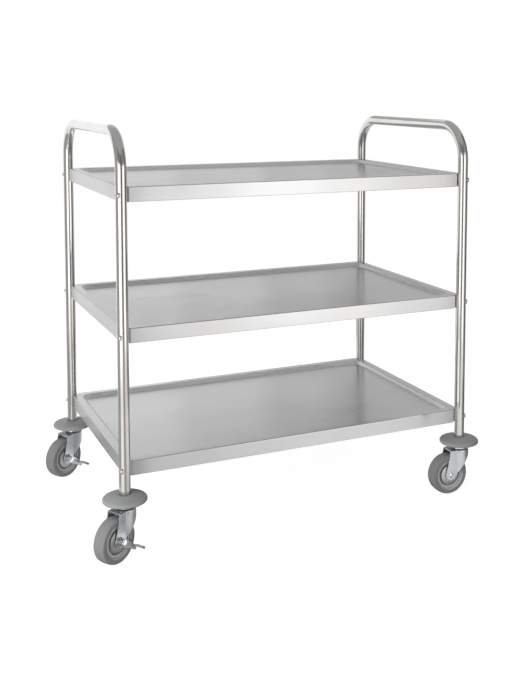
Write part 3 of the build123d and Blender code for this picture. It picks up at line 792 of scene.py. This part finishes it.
studio = {
    "white": (1.0, 1.0, 1.0), "boxTint": (1.0, 0.982, 0.955),
    "floor": {"size": 6.0, "matt": (0.30, 0.30, 0.30), "glow": 0.905, "plain": (0.75, 0.75, 0.75)},
    "fill": 0.34,  # strength of the surround where it isn't seen or mirrored
    "foot": 0.01, "boxTop": 1.2, "top": 2.4, "overBox": 0.28,  # heights, and the strength above a box
    "boxes": {  # plan line and strength
        "leftBox": ((-1.8, -0.68), (-0.995, -1.824), 1.85),
        "rightBoxStart": ((0.1, -2.36), (0.446, -1.904), 1.58),
        "rightBox": ((0.446, -1.904), (0.671, -1.608), 1.92),
        "rightBoxFade": ((0.671, -1.608), (0.844, -1.38), 1.68),
        "rightBoxEnd": ((0.844, -1.38), (1.004, -1.169), 1.38),
    },
    "flags": {
        "cameraFlag": ((-1.01, -1.85), (0.09, -2.38), 0.2),
        "rightHaze": ((1.01, -1.162), (1.25, -0.95), 0.55),
        "rightFlag": ((1.25, -0.95), (2.5, 0.2), 0.16),
        "backRightFlag": ((2.5, 0.2), (2.15, 1.25), 0.6),
        "backRightHaze": ((2.15, 1.25), (1.6, 2.9), 0.68),
        "backLeftFlag": ((-1.82, -0.66), (-2.2, 1.7), 0.45),
    },
    "aprons": {  # floor cards that run in from the boxes and flags, and stop this far from the legs
        "reach": 0.22, "boxHeight": 0.003, "flagHeight": 0.002,
        "middleEnd": 0.3, "middleSide": -0.82,  # right of the centre, up to this X, they aim left of it
        "boxDim": 0.62, "own": {"cameraFlag": 0.42, "rightBox": 1.06, "rightBoxFade": 0.93},  # strengths
    },
    "ceiling": {"x": (-2.3, 2.3), "y": (-2.9, 1.8), "height": 2.5, "strength": 0.49},
    "standing": {  # plan line, bottom, top and strength
        "backOver": ((-2.2, 1.7), (1.6, 2.9), 1.75, 2.6, 0.52),
        "backLeft": ((-2.2, 1.7), (0.6, 2.585), 0.01, 1.74, 1.17),
        "backRight": ((1.15, 2.7575), (1.6, 2.9), 0.01, 1.74, 0.82),
        "legBox": ((0.332, -0.287), (0.361, -0.342), 0.206, 0.37, 1.4),
        "legFlag": ((0.363, -0.344), (0.399, -0.365), 0.19, 0.37, 0.3),
    },
    "patchHeight": 0.004, "patchStep": 0.0002,  # each patch lies a step above the one before
    "patches": {  # outline on the floor and strength
        # the first two are grey cards under the cart, a painted shadow of the cart on the floor, seen only
        # in the steel
        "paintedCartShadow": (((-0.62, -0.45), (0.62, -0.31), (0.62, 0.1), (-0.62, 0.1)), 0.34),
        "paintedLeftShadow": (((-0.45, 0.1), (0.1, 0.1), (0.0, 0.34), (-0.45, 0.34)), 0.58),
        "nutGlintFront": (((-0.352, -0.345), (-0.31, -0.345), (-0.31, -0.3), (-0.352, -0.3)), 1.6),
        "nutGlintBack": (((-0.352, 0.195), (-0.31, 0.195), (-0.31, 0.24), (-0.352, 0.24)), 1.9),
        "besideLeft": (((-0.7, 0.05), (-0.46, 0.05), (-0.46, 0.5), (-0.72, 0.5)), 0.62),
        "behindLeft": (((-0.72, 0.5), (-0.46, 0.5), (-0.46, 1.0), (-0.75, 1.0)), 0.8),
        "besideFront": (((-0.642, 0.058), (-0.533, -0.012), (-0.635, -0.294), (-0.82, -0.13)), 1.15),
        "behindRight": (((-0.5, 1.3), (1.6, 1.3), (1.6, 2.9), (-0.6, 2.6)), 0.45),
        "frontRight": (((0.56, -0.44), (0.8, -0.44), (1.08, -1.1), (0.88, -1.1)), 0.4),
        "nearRight": (((0.36, -0.33), (0.62, -0.33), (0.62, -0.44), (0.4, -0.45)), 0.8),
        "frontHaze": (((-0.30, -0.48), (-0.12, -0.48), (-0.02, -0.85), (-0.22, -0.85)), 0.79),
        "frontMiddle": (((-0.16, -0.46), (0.08, -0.46), (0.08, -0.56), (-0.11, -0.56)), 0.6),
    },
    "lamps": {  # place, size, power and aim
        "topLamp": ((-0.5, -0.5, 2.45), 1.6, 9.0, (0.0, 0.0, 0.0)),
        "leftLamp": ((-2.3, -1.3, 1.3), 1.4, 41.0, (0.0, -0.1, 0.4)),
    },
}


def glowCard(name, colour, strength):
    material = bpy.data.materials.new(name)
    material.use_nodes = True
    tree = material.node_tree
    tree.nodes.clear()
    glow = addNode(tree, "ShaderNodeEmission")
    glow.inputs["Color"].default_value = (*colour, 1.0)
    glow.inputs["Strength"].default_value = strength
    tree.links.new(glow.outputs[0], addNode(tree, "ShaderNodeOutputMaterial").inputs["Surface"])
    return material


def hangCard(name, points, colour, strength, lights=False):  # seen in the steel, but not by the camera
    bm = bmesh.new()
    bmesh.ops.contextual_create(bm, geom=[bm.verts.new(point) for point in points])
    mesh = bpy.data.meshes.new(name)
    bm.to_mesh(mesh)
    bm.free()
    mesh.materials.append(glowCard(name, colour, strength))
    card = bpy.data.objects.new(name, mesh)
    bpy.context.scene.collection.objects.link(card)
    card.visible_camera = False
    card.visible_shadow = False
    card.visible_diffuse = lights
    card.visible_transmission = False
    card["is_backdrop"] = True


def upright(start, end, low, top):
    return [(*start, low), (*end, low), (*end, top), (*start, top)]


def apronOutline(start, end, height):
    near = []
    for point in (Vector(end), Vector(start)):
        side = -1 if point.x < 0 else 1
        if 0 <= point.x < studio["aprons"]["middleEnd"]:
            side = studio["aprons"]["middleSide"]
        leg = Vector((side * cart["legX"], max(-1, min(1, point.y)) * cart["legY"])) * mm
        near.append((*(leg + (point - leg).normalized() * studio["aprons"]["reach"]), height))
    return [(*start, height), (*end, height), *near]


for name, (start, end, strength) in {**studio["boxes"], **studio["flags"]}.items():
    isBox = name in studio["boxes"]
    top = studio["boxTop"] if isBox else studio["top"]
    colour = studio["white"] if name.startswith("back") else studio["boxTint"]
    hangCard(name, upright(start, end, studio["foot"], top), colour, strength, lights=name == "leftBox")
    if isBox:
        hangCard(name + "Over", upright(start, end, top, studio["top"]), studio["white"], studio["overBox"])
    height = studio["aprons"]["boxHeight"] if isBox else studio["aprons"]["flagHeight"]
    dimmed = strength * studio["aprons"]["boxDim"] if isBox else strength
    dimmed = studio["aprons"]["own"].get(name, dimmed)
    hangCard(name + "Apron", apronOutline(start, end, height), studio["boxTint"], dimmed)

(left, right), (front, back) = studio["ceiling"]["x"], studio["ceiling"]["y"]
height, strength = studio["ceiling"]["height"], studio["ceiling"]["strength"]
overhead = [(left, front, height), (right, front, height), (right, back, height), (left, back, height)]
hangCard("ceilingFlag", overhead, studio["white"], strength)
for name, (start, end, low, top, strength) in studio["standing"].items():
    hangCard(name, upright(start, end, low, top), studio["white"], strength)
for level, (name, (outline, strength)) in enumerate(studio["patches"].items()):
    height = studio["patchHeight"] + level * studio["patchStep"]
    hangCard(name, [(*point, height) for point in outline], studio["white"], strength)


def seenDirectly(tree):  # rays from the camera, from mirrors and through clear pieces
    rays = addNode(tree, "ShaderNodeLightPath").outputs
    seen = maths(tree, "MAXIMUM", rays["Is Camera Ray"], rays["Is Glossy Ray"])
    return maths(tree, "MAXIMUM", seen, rays["Is Transmission Ray"])


def whitePaper():  # white where it is seen, and a plain matt surface for all other light
    paper = bpy.data.materials.new("whitePaper")
    paper.use_nodes = True
    tree = paper.node_tree
    tree.nodes.clear()
    matt = addNode(tree, "ShaderNodeBsdfDiffuse")
    matt.inputs["Color"].default_value = (*studio["floor"]["matt"], 1.0)
    glow = addNode(tree, "ShaderNodeEmission")
    glow.inputs["Strength"].default_value = studio["floor"]["glow"]
    both = addNode(tree, "ShaderNodeAddShader")
    tree.links.new(matt.outputs[0], both.inputs[0])
    tree.links.new(glow.outputs[0], both.inputs[1])
    plain = addNode(tree, "ShaderNodeBsdfDiffuse")
    plain.inputs["Color"].default_value = (*studio["floor"]["plain"], 1.0)
    choose = addNode(tree, "ShaderNodeMixShader")
    tree.links.new(seenDirectly(tree), choose.inputs[0])
    tree.links.new(plain.outputs[0], choose.inputs[1])
    tree.links.new(both.outputs[0], choose.inputs[2])
    tree.links.new(choose.outputs[0], addNode(tree, "ShaderNodeOutputMaterial").inputs["Surface"])
    return paper


bm = bmesh.new()
bmesh.ops.create_grid(bm, x_segments=1, y_segments=1, size=studio["floor"]["size"])
mesh = bpy.data.meshes.new("floor")
bm.to_mesh(mesh)
bm.free()
mesh.materials.append(whitePaper())
floor = bpy.data.objects.new("floor", mesh)
bpy.context.scene.collection.objects.link(floor)
floor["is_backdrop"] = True

world = bpy.data.worlds.new("studioWorld")
bpy.context.scene.world = world
world.use_nodes = True
tree = world.node_tree
tree.nodes.clear()
air = addNode(tree, "ShaderNodeBackground")
air.inputs["Color"].default_value = (*studio["white"], 1.0)
tree.links.new(mapRange(tree, seenDirectly(tree), 0.0, 1.0, toLow=studio["fill"]), air.inputs["Strength"])
tree.links.new(air.outputs[0], addNode(tree, "ShaderNodeOutputWorld").inputs["Surface"])

for name, (place, size, power, aim) in studio["lamps"].items():
    lampData = bpy.data.lights.new(name, "AREA")
    lampData.size = size
    lampData.energy = power
    lamp = bpy.data.objects.new(name, lampData)
    lamp.location = place
    lamp.rotation_euler = (Vector(aim) - Vector(place)).to_track_quat("-Z", "Y").to_euler()
    lamp.visible_glossy = False
    bpy.context.scene.collection.objects.link(lamp)
print("studio set")


# camera at the photograph's angle

view = {
    "place": (-0.9678, -2.3766, 1.0257), "yaw": 25.718, "pitch": 4.769, "roll": 0.216,  # metres and degrees
    "image": (525.0, 700.0), "focal": 1011.8, "centre": (323.9, 170.0),  # pixels
    "sensor": 36.0, "clip": (0.05, 60.0),
}
wide, tall = view["image"]
cameraData = bpy.data.cameras.new("photoCamera")
cameraData.sensor_width = view["sensor"]
cameraData.lens = view["focal"] / tall * view["sensor"]
cameraData.shift_x = (wide / 2 - view["centre"][0]) / tall
cameraData.shift_y = (view["centre"][1] - tall / 2) / tall
cameraData.clip_start, cameraData.clip_end = view["clip"]
camera = bpy.data.objects.new("photoCamera", cameraData)
aim = Matrix.Rotation(math.radians(-view["yaw"]), 4, "Z")
aim = aim @ Matrix.Rotation(math.radians(90.0 - view["pitch"]), 4, "X")
roll = Matrix.Rotation(math.radians(view["roll"]), 4, "Z")
camera.matrix_world = Matrix.Translation(view["place"]) @ aim @ roll
bpy.context.scene.collection.objects.link(camera)
bpy.context.scene.camera = camera
bpy.context.scene.view_settings.view_transform = "Standard"

dressedLow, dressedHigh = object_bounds()
cadSize, dressedSize = cadHigh - cadLow, dressedHigh - dressedLow
print("cad box", [round(v, 4) for v in cadSize], "dressed box", [round(v, 4) for v in dressedSize])
